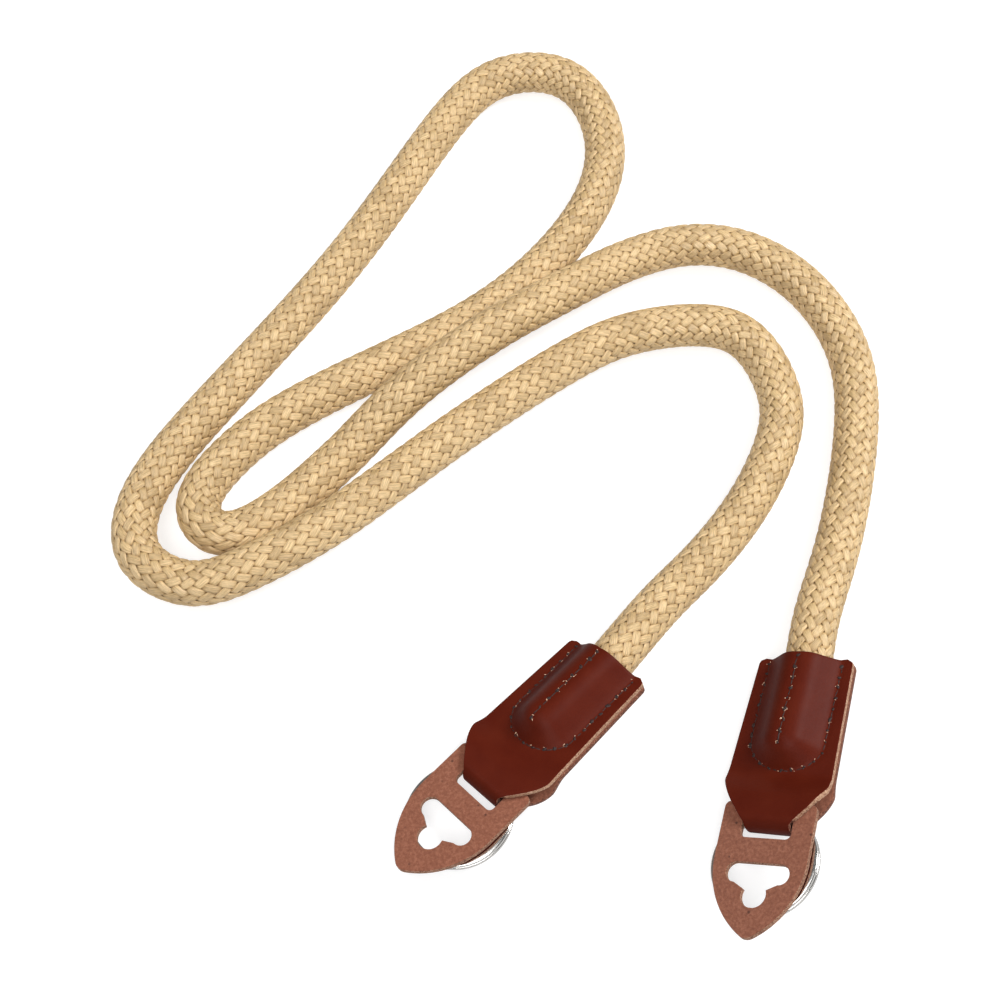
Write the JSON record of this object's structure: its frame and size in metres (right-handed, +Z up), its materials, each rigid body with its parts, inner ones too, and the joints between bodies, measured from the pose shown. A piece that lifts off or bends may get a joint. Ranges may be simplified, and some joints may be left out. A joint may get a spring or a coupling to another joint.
{
  "type": "camera neck strap",
  "caption": "Neck strap for a camera: a thick braided rope with a stitched leather cover, a leaf-shaped leather guard and a split ring at each end.",
  "frame": {"origin": "bottom centre of the box of the two leather ends with their rings, on the table that the strap lies on", "axes": "+Z up from the table, +X from end a towards end b, +Y towards the rope's far loop"},
  "size_m": [0.1821, 0.2398, 0.017],
  "materials": {
    "rope_yarn": "tan braided yarn, slightly glossy",
    "leather": "dark red-brown smooth leather, semi-gloss",
    "flesh_side": "red-brown flesh side of leather, matt",
    "nickel": "nickel plate, polished"
  },
  "bodies": {
    "root": {"rope": "rope_yarn", "cover_a": "leather", "cover_b": "leather", "guard_a": "flesh_side", "guard_b": "flesh_side", "ring_a": "nickel", "ring_b": "nickel"}
  },
  "joints": []
}
